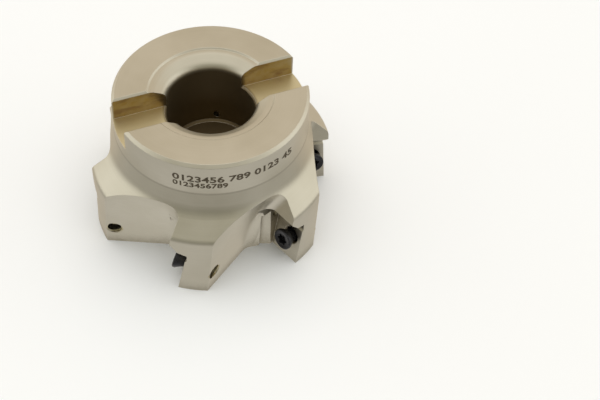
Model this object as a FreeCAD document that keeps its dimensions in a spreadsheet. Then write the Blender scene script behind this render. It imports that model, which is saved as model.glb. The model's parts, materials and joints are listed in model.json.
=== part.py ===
"""Indexable shell-type face mill: a cutter body with six seat screws.

Millimetres. The tool's axis is Z, its cutting end is at Z = 0 and its drive
slot runs along X. Every driving size is one cell of the sheet "sizes".
"""
import FreeCAD, Part
import math
import os
import re

import Sketcher

DRIVING_SIZES = {
    # hub and head of the turned blank
    "body_height": 39.6,
    "hub_dia": 48.0,
    "tooth_od": 61.0,
    "shoulder_height": 18.9,
    "neck_height": 24.3,
    "neck_dia": 50.4,
    "hub_line_height": 30.0,
    "shoulder_round": 2.0,
    "neck_round": 6.0,
    "top_chamfer": 0.75,
    # arbor interface
    "bore_dia": 22.0,
    "bore_depth": 21.6,
    "bore_floor_chamfer": 0.6,
    "mouth_flare": 3.3,
    "mouth_drop": 2.0,
    "mouth_round": 2.5,
    "face_step_width": 1.3,
    "face_step_drop": 0.4,
    "slot_width": 10.4,
    "slot_depth": 6.3,
    "slot_chamfer": 0.5,
    "slot_bore_chamfer": 0.4,
    "screw_hole_dia": 11.0,
    "counterbore_dia": 18.0,
    "counterbore_depth": 8.5,
    "counterbore_chamfer": 0.6,
    # how far a cut runs past the faces it opens into
    "base_overrun": 1.0,
    "side_overrun": 2.0,
    "face_overrun": 0.5,
    # teeth: insets are measured inwards from the tooth's outside
    "tooth_count": 6,
    "seat_angle": -9.65,
    "axial_rake": 10.3,
    "seat_offset": 2.05,
    "insert_thickness": 4.75,
    "seat_height": 10.8,
    "seat_length": 9.0,
    "corner_relief": 0.5,
    "corner_relief_lean": 0.1,
    "ceiling_height": 13.3,
    "ceiling_front": 14.1,
    "ceiling_rise": 2.5,
    "ceiling_run": 2.0,
    "ceiling_setback": 0.2,
    # chip gullet: its outline at the base, and how that has moved at the top;
    # the root is set back from the insert's face
    "gullet_rise": 27.0,
    "gullet_heel_inset": 7.9,
    "gullet_heel_back": 20.56,
    "gullet_root_inset": 12.1,
    "gullet_root_back": 2.1,
    "gullet_toe_inset": 11.2,
    "heel_lean_out": 1.5,
    "heel_lean_fwd": 3.4,
    "root_lean_out": 7.75,
    "root_lean_fwd": 2.4,
    "toe_lean_out": 7.83,
    "gullet_sweep": 1.8,
    "gullet_overrun_share": 0.3,
    "root_round_base": 3.2,
    "root_round_gain": 1.8,
    "toe_round_base": 1.2,
    "toe_round_gain": 2.4,
    # clearance strip from the gullet's root to the seat, and the slit beside it
    "clearance_height": 14.6,
    "clearance_lean": 6.35,
    "clearance_margin": 0.6,
    "clearance_edge_inset": 8.87,
    "clearance_back": 3.38,
    "clearance_foot": 0.9,
    "clearance_bite": 0.2,
    "slit_height": 13.2,
    "slit_inset": 11.6,
    "slit_rise": 0.15,
    "slit_fall": 0.28,
    "slit_width": 0.45,
    "slit_depth": 0.7,
    # seat screw and its hole
    "screw_inset": 3.65,
    "screw_height": 7.1,
    "thread_dia": 4.0,
    "thread_depth": 0.3,
    "thread_pitch": 0.7,
    "thread_turns": 8,
    "crest_share": 0.16,
    "tip_chamfer": 0.4,
    "hole_clearance": 0.06,
    "hole_mouth_extra": 0.5,
    "hole_depth": 14.25,
    "neck_length": 0.8,
    "head_dia": 5.6,
    "head_rim": 0.7,
    "head_cone_angle": 60.0,
    "head_edge_chamfer": 0.15,
    "head_lift": 1.0,
    "socket_dia": 3.35,
    "socket_lobe_dia": 0.84,
    "socket_core_dia": 2.44,
    "socket_depth": 1.3,
    # coolant hole, from the bore down to the seat's inner end
    "coolant_dia": 1.5,
    "coolant_lift": 2.05,
    "coolant_rise": 0.6,
    "coolant_forward": 0.7,
}

SOCKET_LOBES = 6
TOLERANCE = 0.02

doc = FreeCAD.newDocument("face_mill")
sheet = doc.addObject("Spreadsheet::Sheet", "sizes")
for row, (alias, number) in enumerate(DRIVING_SIZES.items(), start=1):
    sheet.set(f"A{row}", alias)
    sheet.set(f"B{row}", str(number))
    sheet.setAlias(f"B{row}", alias)
doc.recompute()


def linked(formula):
    """Write a formula over the sheet's names as an expression."""
    names = "|".join(sorted(DRIVING_SIZES, key=len, reverse=True))
    return re.sub(rf"\b({names})\b", r"sizes.\1", formula)


def number(formula):
    """Value of a formula over the sheet's names."""
    return float(sheet.evalExpression(linked(formula)))


TOOTH_COUNT = int(number("tooth_count"))


def origin_item(body, role):
    for item in body.Origin.OriginFeatures:
        if item.Role == role:
            return item
    raise RuntimeError(f"no {role} in {body.Label}")


def add_sketch(body, name, plane, offset=None):
    sketch = body.newObject("Sketcher::SketchObject", name)
    sketch.AttachmentSupport = [(origin_item(body, plane), "")]
    sketch.MapMode = "FlatFace"
    if offset is not None:
        sketch.AttachmentOffset = offset
    return sketch


def hold(sketch, geometry, point, axis, formula):
    """Tie one coordinate of a sketch point to a formula."""
    if formula == "0":
        line = -2 if axis == "X" else -1
        sketch.addConstraint(Sketcher.Constraint("PointOnObject", geometry, point, line))
        return
    spot = number(formula)
    rule = Sketcher.Constraint(f"Distance{axis}", -1, 1, geometry, point, spot)
    index = sketch.addConstraint(rule)
    sketch.setExpression(f"Constraints[{index}]", linked(formula))


def round_corner(sketch, spot, before, after, corner):
    """Tangent arc between two sides, with the lost corner kept as a point."""
    x, y, radius = corner
    size = number(radius)
    inward = (before + after).normalize()
    half_angle = before.getAngle(after) / 2
    centre = spot + inward * (size / math.sin(half_angle))
    reach = size / math.tan(half_angle)
    ends = (spot + before * reach, spot + after * reach)
    middle = centre - inward * size
    arc = sketch.addGeometry(Part.Arc(ends[0], middle, ends[1]), False)
    point = sketch.addGeometry(Part.Point(spot), True)
    hold(sketch, point, 1, "X", x)
    hold(sketch, point, 1, "Y", y)
    rule = sketch.addConstraint(Sketcher.Constraint("Radius", arc, size))
    sketch.setExpression(f"Constraints[{rule}]", linked(radius))
    starts_first = sketch.getPoint(arc, 1).distanceToPoint(ends[0]) < TOLERANCE
    return arc, point, (1, 2) if starts_first else (2, 1)


def add_outline(sketch, corners):
    """Closed outline through corners given as formulas: x, y and, where
    the corner is rounded, its radius."""
    spots = [FreeCAD.Vector(number(corner[0]), number(corner[1]), 0) for corner in corners]
    count = len(spots)
    for i in range(count):
        sketch.addGeometry(Part.LineSegment(spots[i], spots[(i + 1) % count]), False)
    for i, corner in enumerate(corners):
        previous = (i - 1) % count
        if len(corner) == 2:
            sketch.addConstraint(Sketcher.Constraint("Coincident", previous, 2, i, 1))
            hold(sketch, i, 1, "X", corner[0])
            hold(sketch, i, 1, "Y", corner[1])
            continue
        before = (spots[previous] - spots[i]).normalize()
        after = (spots[(i + 1) % count] - spots[i]).normalize()
        arc, point, ends = round_corner(sketch, spots[i], before, after, corner)
        sketch.addConstraint(Sketcher.Constraint("PointOnObject", point, 1, previous))
        sketch.addConstraint(Sketcher.Constraint("PointOnObject", point, 1, i))
        sketch.addConstraint(Sketcher.Constraint("Tangent", previous, 2, arc, ends[0]))
        sketch.addConstraint(Sketcher.Constraint("Tangent", arc, ends[1], i, 1))


def add_circle(sketch, x, y, radius):
    spot = FreeCAD.Vector(number(x), number(y), 0)
    up = FreeCAD.Vector(0, 0, 1)
    index = sketch.addGeometry(Part.Circle(spot, up, number(radius)), False)
    hold(sketch, index, 3, "X", x)
    hold(sketch, index, 3, "Y", y)
    size = sketch.addConstraint(Sketcher.Constraint("Radius", index, number(radius)))
    sketch.setExpression(f"Constraints[{size}]", linked(radius))


def turned(body, name, corners):
    """Revolution of an outline about the body's own Z."""
    sketch = add_sketch(body, f"{name}_outline", "XZ_Plane")
    add_outline(sketch, corners)
    feature = body.newObject("PartDesign::Revolution", name)
    feature.Profile = sketch
    feature.ReferenceAxis = (sketch, ["V_Axis"])
    feature.Angle = 360
    body.Tip = feature
    doc.recompute()
    return feature


def finish_cut(body, feature, before):
    """Make a cutting feature the body's tip; it must take material away."""
    body.Tip = feature
    doc.recompute()
    if before - body.Shape.Volume < TOLERANCE:
        raise RuntimeError(f"{feature.Label} removed nothing")
    return feature


def cut(body, sketch, name, depth, both_ways=False):
    """Pocket of a sketch to a depth, or to half of it on each side."""
    before = body.Shape.Volume
    pocket = body.newObject("PartDesign::Pocket", name)
    pocket.Profile = sketch
    pocket.Type = "Length"
    pocket.setExpression("Length", linked(depth))
    if both_ways:
        pocket.SideType = "Symmetric"
    return finish_cut(body, pocket, before)


def rings(shape, radius, height):
    """Names of the round edges about Z at one radius and height."""
    found = []
    for index, edge in enumerate(shape.Edges, start=1):
        curve = edge.Curve
        if not isinstance(curve, Part.Circle):
            continue
        on_axis = math.hypot(curve.Center.x, curve.Center.y) < TOLERANCE
        same_size = abs(curve.Radius - radius) < TOLERANCE
        if on_axis and same_size and abs(curve.Center.z - height) < TOLERANCE:
            found.append(f"Edge{index}")
    return found


def soften(body, name, kind, edges, size):
    """Fillet or chamfer on named edges of the body's tip."""
    if not edges:
        raise RuntimeError(f"{name} found no edge")
    base = body.Tip
    feature = body.newObject(f"PartDesign::{kind}", name)
    feature.Base = (base, edges)
    setting = "Radius" if kind == "Fillet" else "Size"
    feature.setExpression(setting, linked(size))
    body.Tip = feature
    doc.recompute()
    return feature


def about_axis(formula):
    """Placement turned about Z by a formula in degrees."""
    turn = FreeCAD.Rotation(FreeCAD.Vector(0, 0, 1), number(formula))
    return FreeCAD.Placement(FreeCAD.Vector(), turn)


def in_seat_frame(radial, tangential, height, tilt_axis, tilt):
    """Placement at a point of the first seat's frame, tilted in that frame."""
    spot = FreeCAD.Vector(number(radial), number(tangential), number(height))
    lean = FreeCAD.Rotation(tilt_axis, number(tilt))
    return about_axis("seat_angle").multiply(FreeCAD.Placement(spot, lean))


X_AXIS = FreeCAD.Vector(1, 0, 0)
Y_AXIS = FreeCAD.Vector(0, 1, 0)
OUTSIDE = "(tooth_od / 2)"
LEAN = "tan(axial_rake * 1 deg)"
SCREW_RADIAL = f"{OUTSIDE} - screw_inset"
SCREW_TANGENTIAL = f"seat_offset + screw_height * {LEAN}"
HEAD_CONE_TOP = "head_lift + (head_dia - thread_dia) / 2 / tan(head_cone_angle / 2 * 1 deg)"
HEAD_TOP = f"{HEAD_CONE_TOP} + head_rim"


def turn_blank(body):
    step = "(body_height - face_step_drop)"
    web_top = "body_height - bore_depth"
    mouth = "bore_dia / 2 + mouth_flare"
    corners = [
        ("counterbore_dia / 2 + counterbore_chamfer", "0"),
        (OUTSIDE, "0"),
        (OUTSIDE, "shoulder_height"),
        ("neck_dia / 2", "neck_height"),
        ("hub_dia / 2", "hub_line_height"),
        ("hub_dia / 2", "body_height - top_chamfer"),
        ("hub_dia / 2 - top_chamfer", "body_height"),
        (f"{mouth} + face_step_width", "body_height"),
        (f"{mouth} + face_step_width - face_step_drop", step),
        (mouth, step),
        ("bore_dia / 2", f"{step} - mouth_drop"),
        ("bore_dia / 2", f"{web_top} + bore_floor_chamfer"),
        ("bore_dia / 2 - bore_floor_chamfer", web_top),
        ("screw_hole_dia / 2", web_top),
        ("screw_hole_dia / 2", "counterbore_depth"),
        ("counterbore_dia / 2", "counterbore_depth"),
        ("counterbore_dia / 2", "counterbore_chamfer"),
    ]
    turned(body, "turned_blank", corners)
    softened = (
        ("shoulder", OUTSIDE, "shoulder_height", "shoulder_round"),
        ("neck", "neck_dia / 2", "neck_height", "neck_round"),
        ("mouth_rim", mouth, step, "mouth_round"),
        ("mouth_bore", "bore_dia / 2", f"{step} - mouth_drop", "mouth_round"),
    )
    for name, radius, height, size in softened:
        edges = rings(body.Shape, number(radius), number(height))
        soften(body, f"{name}_fillet", "Fillet", edges, size)


def mill_drive_slot(body):
    half = "slot_width / 2"
    floor = "body_height - slot_depth"
    above = "body_height + slot_chamfer"
    corners = [
        (f"0 - {half}", floor),
        (half, floor),
        (half, "body_height - slot_chamfer"),
        (f"{half} + 2 * slot_chamfer", above),
        (f"0 - {half} - 2 * slot_chamfer", above),
        (f"0 - {half}", "body_height - slot_chamfer"),
    ]
    sketch = add_sketch(body, "drive_slot_outline", "YZ_Plane")
    add_outline(sketch, corners)
    cut(body, sketch, "drive_slot", "tooth_od", both_ways=True)
    edges = rings(body.Shape, number("bore_dia / 2"), number(floor))
    soften(body, "slot_bore_chamfer", "Chamfer", edges, "slot_bore_chamfer")


def gullet_corners(level):
    """Outline of one gullet in its seat's frame, at 0 to 1 of its rise."""
    sweep = f"{level} ^ gullet_sweep"
    lead = f"seat_offset - insert_thickness + {level} * gullet_rise * {LEAN}"
    heel_x = f"({OUTSIDE} - gullet_heel_inset + {level} * heel_lean_out)"
    heel_y = f"({level} * heel_lean_fwd - gullet_heel_back)"
    root_x = f"({OUTSIDE} - gullet_root_inset + {sweep} * root_lean_out)"
    root_y = f"(seat_offset - insert_thickness - gullet_root_back + {level} * root_lean_fwd)"
    toe_x = f"{OUTSIDE} - gullet_toe_inset + {sweep} * toe_lean_out"
    root_round = f"root_round_base + {level} * root_round_gain"
    toe_round = f"toe_round_base + {level} * toe_round_gain"
    past_heel_x = f"{heel_x} + gullet_overrun_share * ({heel_x} - {root_x})"
    past_heel_y = f"{heel_y} + gullet_overrun_share * ({heel_y} - {root_y})"
    far = f"{OUTSIDE} + insert_thickness"
    return [
        (far, lead),
        (toe_x, lead, toe_round),
        (root_x, root_y, root_round),
        (past_heel_x, past_heel_y),
        (far, past_heel_y),
    ]


def seat_frame_sketch(body, name, height):
    """Level sketch at one height, turned into the first seat's frame."""
    offset = about_axis("seat_angle")
    offset.Base.z = number(height)
    sketch = add_sketch(body, name, "XY_Plane", offset)
    sketch.setExpression("AttachmentOffset.Base.z", linked(height))
    sketch.setExpression("AttachmentOffset.Rotation.Angle", linked("seat_angle"))
    return sketch


def mill_gullet(body):
    sections = (
        ("base", "0", "0 - base_overrun"),
        ("middle", "0.5", "gullet_rise / 2"),
        ("top", "1", "gullet_rise"),
    )
    sketches = []
    for name, level, height in sections:
        sketch = seat_frame_sketch(body, f"gullet_{name}_outline", height)
        add_outline(sketch, gullet_corners(level))
        sketches.append(sketch)
    doc.recompute()
    before = body.Shape.Volume
    loft = body.newObject("PartDesign::SubtractiveLoft", "gullet")
    loft.Profile = sketches[0]
    loft.Sections = sketches[1:]
    return finish_cut(body, loft, before)


def mill_seat(body):
    """Seat face leaning back with the axial rake, a relieved corner above it
    and a sloping ceiling."""
    front = "seat_offset - insert_thickness - face_overrun"
    seat_top = f"seat_offset + seat_height * {LEAN}"
    relief = f"{seat_top} + corner_relief"
    ceiling_back = "seat_offset + ceiling_setback"
    ceiling_top = "ceiling_front + ceiling_rise"
    corners = [
        (f"seat_offset - face_overrun * {LEAN}", "0 - face_overrun"),
        (seat_top, "seat_height"),
        (relief, "seat_height + corner_relief"),
        (f"{relief} + corner_relief_lean", "ceiling_height"),
        (ceiling_back, "ceiling_front"),
        (f"{ceiling_back} - ceiling_run", ceiling_top),
        (front, ceiling_top),
        (front, "0 - face_overrun"),
    ]
    outside = f"{OUTSIDE} + side_overrun"
    turn = FreeCAD.Rotation(Y_AXIS, number("seat_angle"))
    reach = turn.multVec(FreeCAD.Vector(0, 0, number(outside)))
    sketch = add_sketch(body, "seat_outline", "YZ_Plane", FreeCAD.Placement(reach, turn))
    links = {
        "Rotation.Angle": "seat_angle",
        "Base.x": f"({outside}) * sin(seat_angle * 1 deg)",
        "Base.z": f"({outside}) * cos(seat_angle * 1 deg)",
    }
    for setting, formula in links.items():
        sketch.setExpression(f"AttachmentOffset.{setting}", linked(formula))
    add_outline(sketch, corners)
    return cut(body, sketch, "insert_seat", "side_overrun + seat_length")


def mill_clearance(body):
    """Strip from the gullet's root to the seat's inner end, leaning out with
    the gullet's wall."""
    edge = f"{OUTSIDE} - clearance_edge_inset"
    place = in_seat_frame(edge, "0", "clearance_height", Y_AXIS, "clearance_lean")
    sketch = add_sketch(body, "clearance_outline", "XY_Plane", place)
    front = "seat_offset - insert_thickness - clearance_margin"
    back = "seat_offset - clearance_back"
    drift = "clearance_height * tan(clearance_lean * 1 deg)"
    inner = f"clearance_edge_inset - seat_length + clearance_bite + {drift}"
    corners = [
        ("0 - clearance_foot", front),
        (inner, front),
        (inner, back),
        ("0", back),
    ]
    add_outline(sketch, corners)
    depth = "(clearance_height + base_overrun) / cos(clearance_lean * 1 deg)"
    return cut(body, sketch, "corner_clearance", depth)


def mill_slit(body):
    """Upright cut behind that strip's edge, deepest in a narrow slit there."""
    sketch = seat_frame_sketch(body, "slit_outline", "slit_height")
    back = "seat_offset - clearance_back"
    inner = f"{OUTSIDE} - seat_length + clearance_bite"
    root = f"{OUTSIDE} - slit_inset"
    corners = [
        (root, f"{back} + slit_rise"),
        (inner, f"{back} - slit_fall"),
        (inner, "seat_offset - clearance_margin"),
        (f"{root} + slit_depth", f"{back} + slit_width"),
        (root, f"{back} + slit_rise + slit_width"),
    ]
    add_outline(sketch, corners)
    return cut(body, sketch, "corner_slit", "slit_height + base_overrun")


def drill_seat_hole(body):
    """Screw hole square to the seat face, with a coned mouth."""
    hole = "(thread_dia / 2 + hole_clearance)"
    mouth = "thread_dia / 2 + hole_mouth_extra"
    corners = [
        ("0", "0 - hole_depth"),
        (hole, "0 - hole_depth"),
        (hole, f"{hole} - ({mouth})"),
        (mouth, "0"),
        (mouth, "insert_thickness"),
        ("0", "insert_thickness"),
    ]
    tilt = "0 - axial_rake"
    place = in_seat_frame(SCREW_RADIAL, SCREW_TANGENTIAL, "screw_height", X_AXIS, tilt)
    lay_flat = FreeCAD.Placement(FreeCAD.Vector(), FreeCAD.Rotation(X_AXIS, 180))
    sketch = add_sketch(body, "seat_hole_outline", "XY_Plane", place.multiply(lay_flat))
    add_outline(sketch, corners)
    before = body.Shape.Volume
    groove = body.newObject("PartDesign::Groove", "seat_hole")
    groove.Profile = sketch
    groove.ReferenceAxis = (sketch, ["V_Axis"])
    groove.Angle = 360
    return finish_cut(body, groove, before)


def drill_coolant(body):
    """Hole from just above the bore's floor down to the seat's inner end."""
    exit_x = f"({OUTSIDE} - seat_length)"
    exit_height = "(seat_height + coolant_rise)"
    bore_end = "body_height - bore_depth + coolant_lift"
    run = f"({exit_x} - bore_dia / 2)"
    slope = f"(({bore_end} - {exit_height}) / {run})"
    start = f"{exit_x} + coolant_dia"
    height = f"{exit_height} - coolant_dia * {slope}"
    across = "seat_offset + coolant_forward"
    tilt = f"90 deg + atan({slope})"
    place = in_seat_frame(start, across, height, Y_AXIS, tilt)
    sketch = add_sketch(body, "coolant_outline", "XY_Plane", place)
    add_circle(sketch, "0", "0", "coolant_dia / 2")
    return cut(body, sketch, "coolant_hole", f"({run} + 2 * coolant_dia) / cos(atan({slope}))")


def repeat_round(body, features, name, count):
    """Polar pattern of features about the body's own Z."""
    pattern = body.newObject("PartDesign::PolarPattern", name)
    pattern.Originals = features
    pattern.Axis = (origin_item(body, "Z_Axis"), [""])
    pattern.Angle = 360
    pattern.Occurrences = count
    body.Tip = pattern
    doc.recompute()
    return pattern


def make_cutter_body():
    body = doc.addObject("PartDesign::Body", "cutter_body")
    body.Label = "cutter_body"
    turn_blank(body)
    mill_drive_slot(body)
    milled = [step(body) for step in (mill_gullet, mill_seat, mill_clearance, mill_slit)]
    drilled = [step(body) for step in (drill_seat_hole, drill_coolant)]
    pattern = repeat_round(body, milled + drilled, "tooth_pattern", TOOTH_COUNT)
    pattern.setExpression("Occurrences", linked("tooth_count"))
    return body


def screw_corners():
    """Half outline of a seat screw, its axis upright, the seat face at zero."""
    crest = "thread_dia / 2"
    root = f"{crest} - thread_depth"
    tip = "0 - neck_length - thread_turns * thread_pitch - tip_chamfer"
    corners = [("0", tip), (f"{root} - tip_chamfer", tip)]
    for turn in reversed(range(int(number("thread_turns")))):
        low = f"0 - neck_length - {turn + 1} * thread_pitch"
        corners.append((root, low))
        corners.append((crest, f"{low} + (1 - crest_share) / 2 * thread_pitch"))
        corners.append((crest, f"{low} + (1 + crest_share) / 2 * thread_pitch"))
    corners.append((root, "0 - neck_length"))
    corners.append((root, "0"))
    corners.append((crest, "head_lift"))
    corners.append(("head_dia / 2", HEAD_CONE_TOP))
    corners.append(("head_dia / 2", f"{HEAD_TOP} - head_edge_chamfer"))
    corners.append(("head_dia / 2 - head_edge_chamfer", HEAD_TOP))
    corners.append(("0", HEAD_TOP))
    return corners


def cut_socket(body, name, x, radius):
    """Round pocket down from the top of the screw's head."""
    offset = FreeCAD.Placement(FreeCAD.Vector(0, 0, number(HEAD_TOP)), FreeCAD.Rotation())
    sketch = add_sketch(body, f"{name}_outline", "XY_Plane", offset)
    sketch.setExpression("AttachmentOffset.Base.z", linked(HEAD_TOP))
    add_circle(sketch, x, "0", radius)
    return cut(body, sketch, name, "socket_depth")


def make_screw(index):
    name = f"insert_screw_{index + 1}"
    body = doc.addObject("PartDesign::Body", name)
    body.Label = name
    turned(body, f"{name}_turned", screw_corners())
    cut_socket(body, f"{name}_core", "0", "socket_core_dia / 2")
    lobe_x = "(socket_dia - socket_lobe_dia) / 2"
    lobe = cut_socket(body, f"{name}_lobe", lobe_x, "socket_lobe_dia / 2")
    repeat_round(body, [lobe], f"{name}_lobes", SOCKET_LOBES)
    turn = about_axis(f"{index} * 360 / tooth_count")
    tilt = "90 - axial_rake"
    seat = in_seat_frame(SCREW_RADIAL, SCREW_TANGENTIAL, "screw_height", X_AXIS, tilt)
    body.Placement = turn.multiply(seat)
    return body


def check(objects):
    for item in objects:
        for state in item.State:
            if state in ("Invalid", "Error"):
                raise RuntimeError(f"{item.Label} is {state}")


def write(bodies):
    os.makedirs("parts", exist_ok=True)
    for body in bodies:
        shape = body.Shape
        if shape.isNull() or not shape.isValid():
            raise RuntimeError(f"{body.Label} has no sound shape")
        if len(shape.Solids) != 1:
            raise RuntimeError(f"{body.Label} has {len(shape.Solids)} solids")
        shape.exportStep(f"parts/{body.Label}.step")


parts = [make_cutter_body()]
for tooth in range(TOOTH_COUNT):
    parts.append(make_screw(tooth))
doc.recompute()
check(doc.Objects)
write(parts)
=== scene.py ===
"""Looks for a shell face mill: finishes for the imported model, the pieces that
are too fine for it, and a plain studio. Metres, in the part's own frame."""
import json
import math

import bmesh
import bpy
from mathutils import Matrix, Vector


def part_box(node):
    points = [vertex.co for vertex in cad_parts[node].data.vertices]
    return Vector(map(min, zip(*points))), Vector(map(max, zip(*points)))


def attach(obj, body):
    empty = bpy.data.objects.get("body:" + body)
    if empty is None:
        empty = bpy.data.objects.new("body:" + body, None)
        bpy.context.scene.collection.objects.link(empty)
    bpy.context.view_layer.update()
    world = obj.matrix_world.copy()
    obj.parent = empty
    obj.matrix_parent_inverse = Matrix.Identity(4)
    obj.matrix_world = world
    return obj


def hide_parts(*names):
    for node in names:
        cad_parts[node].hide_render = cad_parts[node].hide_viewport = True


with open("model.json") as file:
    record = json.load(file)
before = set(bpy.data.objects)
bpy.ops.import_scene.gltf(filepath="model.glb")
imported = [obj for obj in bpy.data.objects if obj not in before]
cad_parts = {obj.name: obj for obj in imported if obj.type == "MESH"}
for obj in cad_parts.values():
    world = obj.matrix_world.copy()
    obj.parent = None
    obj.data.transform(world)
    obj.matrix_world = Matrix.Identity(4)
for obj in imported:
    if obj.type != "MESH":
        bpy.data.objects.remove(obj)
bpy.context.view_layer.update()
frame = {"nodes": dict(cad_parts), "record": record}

bl_info = {
    "name": "Face Mill Looks",
    "version": (1, 0, 0),
    "blender": (4, 5, 0),
    "location": "View3D > Sidebar > Face Mill",
    "description": "Finishes, fine pieces and a studio for a shell face mill",
    "category": "Object",
}

MM = 0.001
CUTTER = "cutter_body"
CUTTER_NODE = frame["nodes"][CUTTER]
MOUNTS = {mount["name"]: mount for mount in frame["record"]["mounts"]}
SEATS = sorted(name for name in MOUNTS if name.startswith("insert_seat_"))
BORE_RADIUS = MOUNTS["arbor_bore"]["dims"]["r_mm"] * MM
TOOTH_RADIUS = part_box(CUTTER)[1][0]
HUB_TOP = MOUNTS["hub_face"]["pos_m"][2]
SLOT_FLOOR = MOUNTS["drive_slot"]["pos_m"][2]
HUB_RADIUS = 24.0 * MM
RIDGE_DEPTH = 0.3 * MM  # from a thread's crest to its root
THREAD_STEPS = 40       # straight pieces in one turn of a thread
SMOOTH_ANGLE = math.radians(30)

# tones for the finishes, and for painted light and shade, linear
# painted light: pale tone for the slot's floor
SLOT_FLOOR_PAINTED_LIGHT = (0.84, 0.75, 0.49, 1.0)
HEAT_STAIN = (0.27, 0.165, 0.085, 1.0)
# painted shade, with some old oil: dark tone for the gullets' corners and the seats
OIL_AND_SHADE = (0.235, 0.205, 0.145, 1.0)
TURNED_LINE = (0.22, 0.19, 0.14, 1.0)
# painted highlight and rubbed wear on the plate's edges
RUBBED_PLATE_AND_HIGHLIGHT = (0.88, 0.85, 0.76, 1.0)
OXIDE_BLOOM = (0.055, 0.055, 0.062, 1.0)
# painted highlight and rubbed wear on the screws' edges
RUBBED_OXIDE_AND_HIGHLIGHT = (0.30, 0.30, 0.31, 1.0)
MARK_TONES = (0.050, 0.036, 0.020, 1.0), (0.16, 0.13, 0.085, 1.0)
TAPPED_TONES = (0.50, 0.42, 0.22, 1.0), (0.68, 0.63, 0.48, 1.0)
PALE_FLOOR = (0.92, 0.94, 0.98, 1.0)

# the light tent: tones from straight down to straight up, and its walls
TENT_TONES = (
    (0.0, (0.76, 0.745, 0.70)),
    (0.14, (0.60, 0.585, 0.55)),
    (0.25, (0.43, 0.42, 0.39)),
    (0.40, (0.30, 0.29, 0.25)),
    (0.52, (0.24, 0.235, 0.19)),
    (0.70, (0.41, 0.40, 0.33)),
    (0.82, (0.45, 0.44, 0.37)),
    (0.92, (0.80, 0.78, 0.70)),
    (1.0, (0.96, 0.93, 0.86)),
)
BACK_WALL = (0.70, 0.62, 0.505, 1.0)
SIDE_WALLS = (1.06, 1.05, 0.97, 1.0)


class FaceMillSizes(bpy.types.PropertyGroup):
    thread_diameter: bpy.props.FloatProperty(
        name="Thread diameter", description="Across the crests of a seat screw's thread",
        default=4.0 * MM, unit="LENGTH")
    thread_pitch: bpy.props.FloatProperty(
        name="Thread pitch", description="Rise of one turn of the seat screw's thread",
        default=0.7 * MM, unit="LENGTH")
    head_diameter: bpy.props.FloatProperty(
        name="Head diameter", description="Across the rim of a seat screw's head",
        default=5.6 * MM, unit="LENGTH")
    socket_depth: bpy.props.FloatProperty(
        name="Socket depth", description="Depth of the six-lobe socket in a screw's head",
        default=1.3 * MM, unit="LENGTH")
    mark_turn: bpy.props.FloatProperty(
        name="Mark turn", description="Where the marked digits start round the hub",
        default=math.radians(-131.4), subtype="ANGLE")
    mark_lift: bpy.props.FloatProperty(
        name="Mark lift", description="How far the marked digits stand off the hub",
        default=0.03 * MM, unit="LENGTH")


class FaceMillFinishes(bpy.types.PropertyGroup):
    plate_light: bpy.props.FloatVectorProperty(
        name="Plate, light", description="Lighter tone of the nickel plate",
        default=(0.72, 0.68, 0.585), subtype="COLOR", size=3)
    plate_dark: bpy.props.FloatVectorProperty(
        name="Plate, dark", description="Darker tone of the nickel plate",
        default=(0.64, 0.60, 0.50), subtype="COLOR", size=3)
    # painted shade: this warm tone darkens the recesses, and on the slot's walls it is a
    # real straw film
    straw_tint_and_shade: bpy.props.FloatVectorProperty(
        name="Straw tint", description="Warm film in recesses and on the slot's walls",
        default=(0.46, 0.335, 0.13), subtype="COLOR", size=3)
    # painted shade: the dark tone painted inside the bore
    painted_bore_shade: bpy.props.FloatVectorProperty(
        name="Bore film", description="Dark preserving oil inside the bore",
        default=(0.21, 0.155, 0.08), subtype="COLOR", size=3)
    oxide: bpy.props.FloatVectorProperty(
        name="Black oxide", description="Tone of the seat screws",
        default=(0.030, 0.030, 0.034), subtype="COLOR", size=3)


class FaceMillStudio(bpy.types.PropertyGroup):
    lens: bpy.props.FloatProperty(
        name="Lens", description="Focal length on a 36 mm sensor", default=79.97)
    camera_place: bpy.props.FloatVectorProperty(
        name="Camera", description="Where the camera stands",
        default=(-0.07071, -0.21441, 0.27193), subtype="TRANSLATION", size=3)
    camera_turn: bpy.props.FloatProperty(
        name="Camera turn", description="Turn of the camera about the upright",
        default=math.radians(-24.1), subtype="ANGLE")
    camera_pitch: bpy.props.FloatProperty(
        name="Camera pitch", description="How far the camera looks down",
        default=math.radians(50.37), subtype="ANGLE")
    camera_roll: bpy.props.FloatProperty(
        name="Camera roll", description="Turn of the camera about its own line of sight",
        default=math.radians(3.26), subtype="ANGLE")


# ---------------------------------------------------------------- modelling

def only(obj):
    """Make one object the active one and the only one selected."""
    bpy.ops.object.select_all(action="DESELECT")
    obj.select_set(True)
    bpy.context.view_layer.objects.active = obj
    return obj


def named(name):
    """Give the object just made its name, and its mesh the same."""
    obj = bpy.context.object
    obj.name = name
    obj.data.name = name
    return obj


def edit_start():
    """Open the active object's mesh with nothing selected."""
    bpy.ops.object.mode_set(mode="EDIT")
    bpy.ops.mesh.select_all(action="DESELECT")


def edit_end():
    """Merge doubles, turn the faces outwards and leave edit mode."""
    bpy.ops.mesh.select_all(action="SELECT")
    bpy.ops.mesh.remove_doubles(threshold=1e-7)
    bpy.ops.mesh.normals_make_consistent(inside=False)
    bpy.ops.object.mode_set(mode="OBJECT")


def pick(obj, wanted):
    """Select the vertices of the mesh being edited that pass a test."""
    bpy.ops.mesh.select_all(action="DESELECT")
    mesh = bmesh.from_edit_mesh(obj.data)
    for vertex in mesh.verts:
        vertex.select = wanted(vertex.co)
    mesh.select_flush(True)
    bmesh.update_edit_mesh(obj.data)


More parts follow.
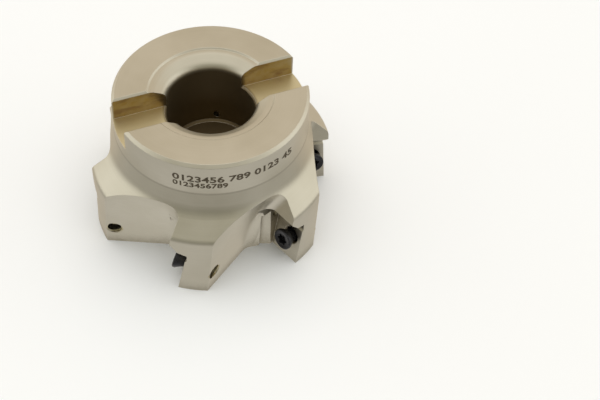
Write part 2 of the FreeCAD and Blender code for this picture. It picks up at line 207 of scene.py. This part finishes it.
def lathe(name, profile, sides):
    """Solid about Z through radius and height pairs, extruded ring by ring."""
    bpy.ops.object.select_all(action="DESELECT")
    radius, height = profile[0]
    bpy.ops.mesh.primitive_circle_add(
        vertices=sides, radius=radius, fill_type="NGON", location=(0, 0, height))
    obj = named(name)
    bpy.ops.object.mode_set(mode="EDIT")
    bpy.ops.mesh.select_all(action="SELECT")
    for wider, higher in profile[1:]:
        bpy.ops.mesh.extrude_region_move(
            TRANSFORM_OT_translate={"value": (0, 0, higher - height)})
        ratio = wider / radius
        bpy.ops.transform.resize(
            value=(ratio, ratio, 1), center_override=(0, 0, higher))
        radius, height = wider, higher
    edit_end()
    settle(obj)
    return obj


def settle(obj):
    """Apply an object's place, turn and scale to its mesh."""
    only(obj)
    bpy.ops.object.transform_apply(location=True, rotation=True, scale=True)


def apply_modifier(obj, name, kind, **settings):
    """Add a modifier with these settings and apply it."""
    modifier = obj.modifiers.new(name, kind)
    for setting, value in settings.items():
        setattr(modifier, setting, value)
    only(obj)
    bpy.ops.object.modifier_apply(modifier=name)


def carve(obj, tool, operation):
    """Join or cut one solid with another, which is used up."""
    apply_modifier(
        obj, "carve", "BOOLEAN", object=tool, operation=operation, solver="EXACT")
    bpy.data.objects.remove(tool)


def thread_ridge(name, crest, root, pitch, low, turns):
    """Closed helical ridge about Z with a flat crest and sloping flanks."""
    root_share, crest_share = 0.88, 0.18  # of the pitch, and of the root's width
    bpy.ops.object.select_all(action="DESELECT")
    depth = abs(crest - root)
    bpy.ops.mesh.primitive_plane_add(
        size=1, location=((crest + root) / 2, 0, low), rotation=(math.pi / 2, 0, 0))
    obj = named(name)
    obj.scale = (depth, pitch * root_share, 1)
    settle(obj)
    edit_start()
    pick(obj, lambda spot: abs(spot.x - crest) < depth / 4)
    bpy.ops.transform.resize(
        value=(1, 1, crest_share), center_override=(crest, 0, low))
    bpy.ops.mesh.select_all(action="SELECT")
    bpy.ops.mesh.delete(type="ONLY_FACE")
    bpy.ops.object.mode_set(mode="OBJECT")
    apply_modifier(
        obj, "turns", "SCREW", axis="Z", angle=math.tau, screw_offset=pitch,
        steps=THREAD_STEPS, render_steps=THREAD_STEPS, iterations=turns,
        use_merge_vertices=False)
    edit_start()
    bpy.ops.mesh.select_non_manifold()
    bpy.ops.mesh.fill_holes(sides=0)
    edit_end()
    return obj


def lobed_cutter(name, radius, swing, low, high):
    """Upright prism with six smooth lobes, for cutting a screw's socket."""
    lobes, sides = 6, 72
    bpy.ops.object.select_all(action="DESELECT")
    bpy.ops.mesh.primitive_circle_add(
        vertices=sides, radius=radius, fill_type="NGON", location=(0, 0, low))
    obj = named(name)
    settle(obj)
    edit_start()
    mesh = bmesh.from_edit_mesh(obj.data)
    for vertex in mesh.verts:
        turn = math.atan2(vertex.co.y, vertex.co.x)
        vertex.co.xy *= 1 + swing / radius * math.cos(lobes * turn)
    bmesh.update_edit_mesh(obj.data)
    bpy.ops.mesh.select_all(action="SELECT")
    bpy.ops.mesh.extrude_region_move(
        TRANSFORM_OT_translate={"value": (0, 0, high - low)})
    edit_end()
    return obj


def digits(name, text, width, height, radius, lift):
    """Line of digits as a thin closed solid wrapped outside a cylinder about
    Z, its first digit at the angle zero and its foot at Z = 0."""
    bpy.ops.object.select_all(action="DESELECT")
    bpy.ops.object.text_add(location=(0, 0, 0))
    words = bpy.context.object
    words.data.body = text
    words.data.extrude = 0.5    # any depth will do: it is scaled to the lift
    words.data.offset = 0.024   # makes the strokes bolder
    words.data.resolution_u = 4
    bpy.ops.object.convert(target="MESH")
    obj = named(name)
    size = obj.dimensions.copy()
    obj.scale = (width / size.x, height / size.y, lift / size.z)
    settle(obj)
    edge = min(vertex.co.x for vertex in obj.data.vertices)
    foot = min(vertex.co.y for vertex in obj.data.vertices)
    obj.location = (-edge, -foot, 0)
    settle(obj)
    obj.rotation_euler = (math.pi / 2, 0, 0)
    settle(obj)
    edit_start()
    mesh = bmesh.from_edit_mesh(obj.data)
    for vertex in mesh.verts:
        turn = vertex.co.x / radius
        out = radius + lift / 2 - vertex.co.y
        vertex.co.x, vertex.co.y = out * math.cos(turn), out * math.sin(turn)
    bmesh.update_edit_mesh(obj.data)
    edit_end()
    return obj


def trim(obj, place, normal):
    """Cut away what lies beyond a plane and close the cut."""
    only(obj)
    edit_start()
    bpy.ops.mesh.select_all(action="SELECT")
    bpy.ops.mesh.bisect(
        plane_co=place, plane_no=normal, use_fill=True, clear_outer=True)
    edit_end()


def round_shade(obj):
    """Smooth the shading, and keep the edges sharp."""
    only(obj)
    bpy.ops.object.shade_smooth_by_angle(angle=SMOOTH_ANGLE)


def upright_to(mount):
    """Matrix that takes +Z at the origin to a mount's place and axis."""
    axis = Vector(mount["axis"])
    turn = Vector((0, 0, 1)).rotation_difference(axis).to_matrix().to_4x4()
    return Matrix.Translation(Vector(mount["pos_m"])) @ turn


def copy_of(obj, name, matrix):
    """Copy with its own mesh, put in place, with the place in its mesh."""
    only(obj)
    bpy.ops.object.duplicate(linked=False)
    twin = named(name)
    twin.matrix_world = matrix
    settle(twin)
    return twin


# ---------------------------------------------------------------- materials

class Tree:
    """Shorthand for building a material's nodes."""

    def __init__(self, name):
        self.material = bpy.data.materials.new(name)
        self.material.use_nodes = True
        self.tree = self.material.node_tree
        self.shader = self.tree.nodes["Principled BSDF"]

    def add(self, kind, inputs=None, **settings):
        """Add a node, set it up and feed its sockets."""
        node = self.tree.nodes.new(kind)
        for setting, value in settings.items():
            setattr(node, setting, value)
        for key, value in (inputs or {}).items():
            self.feed(value, node.inputs[key])
        return node

    def feed(self, value, socket):
        """Link a socket to another one's value, or set its own."""
        if isinstance(value, bpy.types.NodeSocket):
            self.tree.links.new(value, socket)
        else:
            socket.default_value = value

    def maths(self, operation, *values, clamp=False):
        node = self.add("ShaderNodeMath", operation=operation, use_clamp=clamp)
        for socket, value in zip(node.inputs, values):
            self.feed(value, socket)
        return node.outputs[0]

    def product(self, first, *others):
        """All the values multiplied together."""
        for value in others:
            first = self.maths("MULTIPLY", first, value)
        return first

    def vector(self, operation, first, second=None, scale=None):
        node = self.add("ShaderNodeVectorMath", operation=operation)
        self.feed(first, node.inputs[0])
        if second is not None:
            self.feed(second, node.inputs[1])
        if scale is not None:
            self.feed(scale, node.inputs["Scale"])
        single = operation in ("DOT_PRODUCT", "LENGTH")
        return node.outputs["Value" if single else "Vector"]

    def ramp(self, value, low, high, out_low=0.0, out_high=1.0):
        """Smooth step of a value from one level to another."""
        node = self.add("ShaderNodeMapRange", interpolation_type="SMOOTHSTEP")
        for socket, item in zip(node.inputs, (value, low, high, out_low, out_high)):
            self.feed(item, socket)
        return node.outputs[0]

    def mix(self, share, first, second):
        node = self.add("ShaderNodeMix", data_type="RGBA")
        self.feed(share, node.inputs["Factor"])
        self.feed(first, node.inputs["A"])
        self.feed(second, node.inputs["B"])
        return node.outputs["Result"]

    def noise(self, vector, scale, detail=3.0, roughness=0.5):
        return self.add("ShaderNodeTexNoise", {
            "Vector": vector, "Scale": scale, "Detail": detail, "Roughness": roughness,
        }).outputs["Fac"]

    def bump(self, height, strength, distance, normal=None):
        inputs = {"Height": height, "Strength": strength, "Distance": distance}
        if normal is not None:
            inputs["Normal"] = normal
        return self.add("ShaderNodeBump", inputs).outputs["Normal"]

    def place(self):
        """Where a point lies on the object, in millimetres."""
        spot = self.add("ShaderNodeTexCoord").outputs["Object"]
        return self.vector("SCALE", spot, scale=1 / MM)

    def edges(self, radius, low, high):
        """Normal rounded over the edges, and how much of an edge a point is."""
        rounded = self.add("ShaderNodeBevel", {"Radius": radius}, samples=4).outputs[0]
        sharp = self.add("ShaderNodeNewGeometry").outputs["Normal"]
        return rounded, self.ramp(self.vector("DOT_PRODUCT", rounded, sharp), low, high)

    def set(self, **values):
        """Feed the shader's sockets by name."""
        for key, value in values.items():
            self.feed(value, self.shader.inputs[key.replace("_", " ")])


class Sky(Tree):
    """The same shorthand on a world's nodes."""

    def __init__(self, name, scene):
        world = bpy.data.worlds.new(name)
        world.use_nodes = True
        scene.world = world
        self.tree = world.node_tree
        self.shader = self.tree.nodes["Background"]


def opaque(colour):
    """Colour with a full alpha."""
    return (*colour, 1.0)


def plate_material(finishes):
    """Nickel plate over turned and milled steel, with painted shade in recesses, corners
    and the bore, painted light on the slot's floor, and rubbed wear with a painted
    highlight on the edges.
    Levels and radii are in millimetres."""
    hub, bore = HUB_RADIUS / MM, BORE_RADIUS / MM
    slot_floor, hub_top = SLOT_FLOOR / MM, HUB_TOP / MM
    hub_line, gullet_top = 29.8, 18.5

    make = Tree("nickel_plate")
    place = make.place()
    facing = make.add("ShaderNodeTexCoord").outputs["Normal"]
    x, y, z = make.add("ShaderNodeSeparateXYZ", {"Vector": place}).outputs
    flat = make.add("ShaderNodeCombineXYZ", {"X": x, "Y": y}).outputs[0]
    radius = make.vector("LENGTH", flat)
    up = make.vector("DOT_PRODUCT", facing, (0.0, 0.0, 1.0))

    # turned faces look along the radius, milled ones also round the axis
    minus_y = make.maths("MULTIPLY", y, -1.0)
    round_way = make.add("ShaderNodeCombineXYZ", {"X": minus_y, "Y": x}).outputs[0]
    across = make.vector("DOT_PRODUCT", make.vector("NORMALIZE", round_way), facing)
    milled = make.ramp(make.maths("ABSOLUTE", across), 0.02, 0.12)

    # fine rings left by turning, spaced along the turned outline
    along = make.maths("SUBTRACT", radius, z)
    ring_place = make.add("ShaderNodeCombineXYZ", {"X": along}).outputs[0]
    rings = make.maths(
        "ADD", make.product(make.noise(ring_place, 5.0, 2.0), 0.6),
        make.product(make.noise(ring_place, 1.2, 2.0), 0.4))
    # short streaks left by milling
    streak_place = make.vector("MULTIPLY", place, (0.35, 0.35, 2.6))
    streaks = make.noise(streak_place, 1.6, 4.0, 0.6)
    lay = make.add("ShaderNodeMix", {"Factor": milled, "A": rings, "B": streaks}).outputs[0]

    clouds = make.noise(place, 0.055, 3.0, 0.55)
    grain = make.noise(place, 3.2, 3.0, 0.6)
    tone = make.maths("ADD", make.product(clouds, 0.7), make.product(lay, 0.3))
    colour = make.mix(
        make.ramp(tone, 0.36, 0.66), opaque(finishes.plate_dark),
        opaque(finishes.plate_light))

    # painted light: the slot's floor is painted paler than its walls, standing in for the
    # brighter reflection it shows
    on_floor = make.product(
        make.ramp(z, slot_floor + 0.6, slot_floor + 0.2),
        make.ramp(z, slot_floor - 1.0, slot_floor - 0.5),
        make.ramp(up, 0.9, 0.98))
    colour = make.mix(make.product(on_floor, 0.8), colour, SLOT_FLOOR_PAINTED_LIGHT)

    # painted shade: recesses are painted a darker straw where ambient occlusion is high;
    # the slot's walls carry a real straw film
    open_sky = make.add(
        "ShaderNodeAmbientOcclusion", {"Distance": 7.0 * MM}, samples=8).outputs["AO"]
    patches = make.noise(place, 0.42, 3.0, 0.6)
    painted_recess_shade = make.product(
        make.ramp(open_sky, 0.62, 0.18), make.maths("SUBTRACT", 1.0, on_floor))
    on_wall = make.product(
        make.ramp(z, slot_floor - 0.05, slot_floor + 0.05),
        make.ramp(make.maths("ABSOLUTE", up), 0.3, 0.1), milled,
        make.ramp(radius, hub - 0.1, hub - 0.5))
    film_and_shade = make.maths(
        "ADD", make.product(painted_recess_shade, make.ramp(patches, 0.3, 0.75, 0.25, 0.6)),
        make.product(on_wall, make.ramp(patches, 0.3, 0.7, 0.8, 1.0)), clamp=True)
    colour = make.mix(film_and_shade, colour, opaque(finishes.straw_tint_and_shade))

    # a bronze heat stain runs along the slot's walls, and their colour is darker towards
    # their foot
    stain_place = make.vector("MULTIPLY", place, (0.16, 0.16, 0.55))
    stain = make.ramp(make.noise(stain_place, 1.0, 3.0, 0.6), 0.48, 0.68, 0.0, 0.6)
    foot = make.ramp(z, slot_floor + 3.4, slot_floor, 0.0, 0.35)
    stain = make.maths("ADD", stain, foot, clamp=True)
    colour = make.mix(make.product(stain, on_wall), colour, HEAT_STAIN)

    # painted shade: the gullets' inner corners and the seats are painted darker where they
    # are occluded, with some old oil
    oil_and_shade = make.product(
        make.ramp(open_sky, 0.80, 0.35), make.ramp(z, gullet_top, gullet_top - 2.0),
        make.ramp(patches, 0.25, 0.75, 0.55, 0.9))
    colour = make.mix(oil_and_shade, colour, OIL_AND_SHADE)

    # the line where the hub's cylinder was turned down to the neck
    from_line = make.maths("ABSOLUTE", make.maths("SUBTRACT", z, hub_line))
    line = make.product(
        make.ramp(from_line, 0.42, 0.12), make.ramp(radius, hub - 0.8, hub - 0.2))
    colour = make.mix(make.product(line, 0.22), colour, TURNED_LINE)

    # painted shade: the bore is painted dark, fading out where the mouth opens
    in_bore = make.product(
        make.ramp(radius, bore + 1.2, bore + 0.1),
        make.ramp(z, hub_top - 2.2, hub_top - 4.2), make.ramp(z, -0.5, 0.5))
    colour = make.mix(make.product(in_bore, 0.92), colour, opaque(finishes.painted_bore_shade))

    # painted highlight and rubbed wear: edges are painted brighter and made smoother
    rounded, edge = make.edges(0.22 * MM, 0.995, 0.90)
    rub_and_highlight = make.product(edge, make.ramp(grain, 0.35, 0.6, 0.35, 1.0))
    colour = make.mix(make.product(rub_and_highlight, 0.65), colour, RUBBED_PLATE_AND_HIGHLIGHT)

    gloss = 0.26
    for layer, share in (
            (grain, 0.10), (clouds, 0.10), (lay, 0.08), (rub_and_highlight, -0.10), (in_bore, 0.12)):
        gloss = make.maths("ADD", gloss, make.product(layer, share))
    normal = make.bump(lay, 0.22, 0.02 * MM, rounded)
    normal = make.bump(grain, 0.12, 0.015 * MM, normal)
    make.set(Base_Color=colour, Metallic=1.0, Roughness=gloss, Normal=normal)
    return make.material


def oxide_material(finishes):
    """Oiled black oxide, its edges painted grey as rubbed wear and a painted highlight."""
    make = Tree("black_oxide")
    grain = make.noise(make.place(), 2.4, 4.0, 0.6)
    rounded, edge = make.edges(0.09 * MM, 0.99, 0.88)
    rub_and_highlight = make.product(edge, make.ramp(grain, 0.42, 0.62))
    tone = make.mix(grain, opaque(finishes.oxide), OXIDE_BLOOM)
    colour = make.mix(make.product(rub_and_highlight, 0.5), tone, RUBBED_OXIDE_AND_HIGHLIGHT)
    gloss = make.ramp(grain, 0.3, 0.7, 0.24, 0.40)
    normal = make.bump(grain, 0.15, 0.02 * MM, rounded)
    make.set(Base_Color=colour, Metallic=0.75, Roughness=gloss, Normal=normal)
    return make.material


def mark_material():
    """Laser marking: dark, matt and slightly uneven."""
    make = Tree("laser_mark")
    burn = make.noise(make.place(), 4.5, 3.0, 0.6)
    colour = make.mix(make.ramp(burn, 0.35, 0.7), *MARK_TONES)
    normal = make.bump(burn, 0.3, 0.01 * MM)
    make.set(Base_Color=colour, Metallic=0.3, Roughness=0.62, Normal=normal)
    return make.material


def tapped_material():
    """Bright cut steel under a straw film, in the tapped holes."""
    make = Tree("tapped_steel")
    place = make.place()
    patches = make.noise(place, 1.1, 3.0, 0.6)
    colour = make.mix(make.ramp(patches, 0.35, 0.65), *TAPPED_TONES)
    normal = make.bump(make.noise(place, 6.0), 0.15, 0.01 * MM)
    make.set(Base_Color=colour, Metallic=1.0, Roughness=0.3, Normal=normal)
    return make.material


def dress(obj, material):
    """Put one material on every face of an object."""
    obj.data.materials.clear()
    obj.data.materials.append(material)


# ---------------------------------------------------------------- operators

class FACEMILL_OT_stage(bpy.types.Operator):
    """Set the floor, the soft light and the camera"""
    bl_idname = "facemill.stage"
    bl_label = "Set the stage"

    def execute(self, context):
        studio = context.scene.face_mill_studio
        self.floor()
        self.sky(context.scene, studio)
        self.lights()
        self.camera(context.scene, studio)
        return {"FINISHED"}

    def floor(self):
        """A wide pale floor that the metal doesn't mirror."""
        bpy.ops.object.select_all(action="DESELECT")
        bpy.ops.mesh.primitive_plane_add(size=6.0, location=(0, 0, 0))
        floor = named("floor")
        make = Tree("pale_floor")
        make.set(Base_Color=PALE_FLOOR, Roughness=0.9)
        dress(floor, make.material)
        floor.visible_glossy = False

    def sky(self, scene, studio):
        """A light tent: bright sides, a warm back wall and a dim front."""
        make = Sky("studio", scene)
        way = make.add("ShaderNodeTexCoord").outputs["Generated"]
        height = make.add("ShaderNodeSeparateXYZ", {"Vector": way}).outputs["Z"]
        turn = Matrix.Rotation(studio.camera_turn, 3, "Z")
        right, back = turn @ Vector((1, 0, 0)), turn @ Vector((0, 1, 0))
        sideways = make.maths("ABSOLUTE", make.vector("DOT_PRODUCT", way, right))
        backwards = make.vector("DOT_PRODUCT", way, back)

        half_up = make.maths("MULTIPLY_ADD", height, 0.5, 0.5)
        shade = make.add("ShaderNodeValToRGB", {"Fac": half_up})
        points = shade.color_ramp.elements
        while len(points) < len(TENT_TONES):
            points.new(0.5)
        for point, (level, colour) in zip(points, TENT_TONES):
            point.position = level
            point.color = opaque(colour)

        behind = make.ramp(backwards, 0.10, 0.60)
        colour = make.mix(behind, shade.outputs["Color"], BACK_WALL)
        beside = make.product(
            make.ramp(sideways, 0.55, 0.92), make.ramp(height, -0.30, 0.0))
        make.set(Color=make.mix(beside, colour, SIDE_WALLS))

    def lights(self):
        """Overhead box that brightens the floor without showing in the metal."""
        bpy.ops.object.light_add(type="AREA", location=(0.0, 0.05, 1.0))
        light = bpy.context.object
        light.name = "top_box"
        light.data.shape = "SQUARE"
        light.data.size = 1.2
        light.data.energy = 4.8
        light.visible_glossy = False

    def camera(self, scene, studio):
        """The camera, turned, then pitched, then rolled."""
        bpy.ops.object.camera_add(location=studio.camera_place)
        camera = bpy.context.object
        camera.name = "camera"
        turn = Matrix.Rotation(studio.camera_turn, 4, "Z")
        pitch = Matrix.Rotation(math.pi / 2 - studio.camera_pitch, 4, "X")
        roll = Matrix.Rotation(studio.camera_roll, 4, "Z")
        place = Matrix.Translation(Vector(studio.camera_place))
        camera.matrix_world = place @ turn @ pitch @ roll
        camera.data.sensor_width = 36.0
        camera.data.lens = studio.lens
        camera.data.clip_start = 0.01
        scene.camera = camera
        scene.view_settings.view_transform = "Standard"


class FACEMILL_OT_plate_body(bpy.types.Operator):
    """Give the cutter body its nickel plate"""
    bl_idname = "facemill.plate_body"
    bl_label = "Plate the body"

    def execute(self, context):
        dress(CUTTER_NODE, plate_material(context.scene.face_mill_finishes))
        return {"FINISHED"}


class FACEMILL_OT_seat_screws(bpy.types.Operator):
    """Make the six seat screws with a real thread and a six-lobe socket"""
    bl_idname = "facemill.seat_screws"
    bl_label = "Make the seat screws"

    NECK = 0.8 * MM         # plain length between the seat and the thread
    HEAD_LIFT = 1.0 * MM    # from the seat to the foot of the head's cone
    RIM = 0.7 * MM          # height of the head's straight rim
    EDGE = 0.15 * MM        # chamfer on the head
    TIP = 0.4 * MM          # chamfer at the screw's tip
    DISH = 0.06 * MM        # shallow dish round the socket
    DISH_SHARES = 0.72, 0.68  # its outer and inner edge, as shares of the rim
    OVERLAP = 0.05 * MM     # how deep the thread is sunk in the shank
    SOCKET_RADIUS = 1.42 * MM
    SOCKET_SWING = 0.24 * MM
    SIDES = 64
    TURNS = 5

    def execute(self, context):
        scene = context.scene
        master = self.screw(scene.face_mill_sizes)
        oxide = oxide_material(scene.face_mill_finishes)
        for number, seat in enumerate(SEATS, start=1):
            screw = copy_of(master, f"seat_screw_{number}", upright_to(MOUNTS[seat]))
            dress(screw, oxide)
            node = f"insert_screw_{number}"
            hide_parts(node)
            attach(screw, f"{node}_body")
        bpy.data.objects.remove(master)
        return {"FINISHED"}

    def screw(self, sizes):
        """One screw along Z, with the seat's face at Z = 0."""
        crest = sizes.thread_diameter / 2
        root = crest - RIDGE_DEPTH
        rim = sizes.head_diameter / 2
        cone_top = self.HEAD_LIFT + (rim - crest) * math.sqrt(3)
        top = cone_top + self.RIM
        thread_low = -self.NECK - self.TURNS * sizes.thread_pitch
        dish_out, dish_in = (share * rim for share in self.DISH_SHARES)
        shank = lathe("screw_master", (
            (root - self.TIP, thread_low - self.TIP),
            (root, thread_low),
            (root, 0.0),
            (crest, self.HEAD_LIFT),
            (rim, cone_top),
            (rim, top - self.EDGE),
            (rim - self.EDGE, top),
            (dish_out, top),
            (dish_in, top - self.DISH),
        ), self.SIDES)
        ridge = thread_ridge(
            "screw_thread", crest, root - self.OVERLAP, sizes.thread_pitch,
            thread_low + sizes.thread_pitch / 2, self.TURNS - 1)
        carve(shank, ridge, "UNION")
        socket = lobed_cutter(
            "socket", self.SOCKET_RADIUS, self.SOCKET_SWING,
            top - sizes.socket_depth, top + self.RIM)
        carve(shank, socket, "DIFFERENCE")
        round_shade(shank)
        return shank


class FACEMILL_OT_tap_holes(bpy.types.Operator):
    """Cut the thread that shows at the far end of each seat hole"""
    bl_idname = "facemill.tap_holes"
    bl_label = "Tap the seat holes"

    HOLE_RADIUS = 2.06 * MM
    SUNK = 0.04 * MM        # how deep the ridge is sunk in the hole's wall
    START = 6.2 * MM        # depth below the seat where the thread begins
    INSET = 0.07 * MM       # how far its end stays inside the tooth
    BESIDE = 2.6 * MM       # from the hole's axis to a spot on the flank
    REACH = 30.0 * MM       # a place well outside the tooth
    TURNS = 3

    def execute(self, context):
        sizes = context.scene.face_mill_sizes
        steel = tapped_material()
        low = -self.START - self.TURNS * sizes.thread_pitch
        master = thread_ridge(
            "tap_master", self.HOLE_RADIUS - RIDGE_DEPTH, self.HOLE_RADIUS + self.SUNK,
            sizes.thread_pitch, low, self.TURNS)
        for number, seat in enumerate(SEATS, start=1):
            matrix = upright_to(MOUNTS[seat])
            thread = copy_of(master, f"tapped_thread_{number}", matrix)
            spot, normal = self.flank(matrix)
            trim(thread, spot - normal * self.INSET, normal)
            exit_way = matrix @ Vector((0, 0, low))
            outward = Vector((exit_way.x, exit_way.y, 0)).normalized()
            trim(thread, outward * (TOOTH_RADIUS - self.INSET), outward)
            round_shade(thread)
            dress(thread, steel)
            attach(thread, "cutter")
        bpy.data.objects.remove(master)
        return {"FINISHED"}

    def flank(self, matrix):
        """Point and outward normal of the tooth's back beside the hole."""
        axis = (matrix.to_3x3() @ Vector((0, 0, 1))).normalized()
        far = matrix @ Vector((0, 0, -self.REACH))
        inward = Vector((-far.x, -far.y, 0)).normalized()
        beside = (inward - axis * inward.dot(axis)).normalized() * self.BESIDE
        hit, spot, normal, _ = CUTTER_NODE.ray_cast(far + beside, axis)
        if not hit:
            raise RuntimeError("no flank behind a seat hole")
        return spot, normal


class FACEMILL_OT_mark_hub(bpy.types.Operator):
    """Wrap two lines of plain digits round the hub"""
    bl_idname = "facemill.mark_hub"
    bl_label = "Mark the hub"

    LINES = (
        # digits, arc length, digit height, foot height
        ("0123456 789 0123 45", 31.4 * MM, 2.1 * MM, 33.9 * MM),
        ("0123456789", 13.3 * MM, 1.65 * MM, 31.95 * MM),
    )

    def execute(self, context):
        sizes = context.scene.face_mill_sizes
        burn = mark_material()
        for number, (text, width, height, foot) in enumerate(self.LINES, start=1):
            mark = digits(
                f"hub_digits_{number}", text, width, height, HUB_RADIUS, sizes.mark_lift)
            mark.location.z = foot
            mark.rotation_euler.z = sizes.mark_turn
            settle(mark)
            dress(mark, burn)
            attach(mark, "cutter")
        return {"FINISHED"}


OPERATORS = (
    FACEMILL_OT_stage, FACEMILL_OT_plate_body, FACEMILL_OT_seat_screws,
    FACEMILL_OT_tap_holes, FACEMILL_OT_mark_hub)


class FACEMILL_PT_panel(bpy.types.Panel):
    """Lists the steps that dress the face mill"""
    bl_idname = "FACEMILL_PT_panel"
    bl_label = "Face Mill"
    bl_space_type = "VIEW_3D"
    bl_region_type = "UI"
    bl_category = "Face Mill"

    def draw(self, context):
        for operator in OPERATORS:
            self.layout.operator(operator.bl_idname)
        scene = context.scene
        for group in (
                scene.face_mill_sizes, scene.face_mill_finishes, scene.face_mill_studio):
            for name in group.__annotations__:
                self.layout.prop(group, name)


GROUPS = (FaceMillSizes, FaceMillFinishes, FaceMillStudio)


def register():
    for item in (*GROUPS, *OPERATORS, FACEMILL_PT_panel):
        bpy.utils.register_class(item)
    bpy.types.Scene.face_mill_sizes = bpy.props.PointerProperty(type=FaceMillSizes)
    bpy.types.Scene.face_mill_finishes = bpy.props.PointerProperty(type=FaceMillFinishes)
    bpy.types.Scene.face_mill_studio = bpy.props.PointerProperty(type=FaceMillStudio)


def unregister():
    del bpy.types.Scene.face_mill_studio
    del bpy.types.Scene.face_mill_finishes
    del bpy.types.Scene.face_mill_sizes
    for item in (FACEMILL_PT_panel, *reversed(OPERATORS), *reversed(GROUPS)):
        bpy.utils.unregister_class(item)


def main():
    register()
    bpy.ops.facemill.stage()
    bpy.ops.facemill.plate_body()
    bpy.ops.facemill.seat_screws()
    bpy.ops.facemill.tap_holes()
    bpy.ops.facemill.mark_hub()


if __name__ == "__main__":
    main()
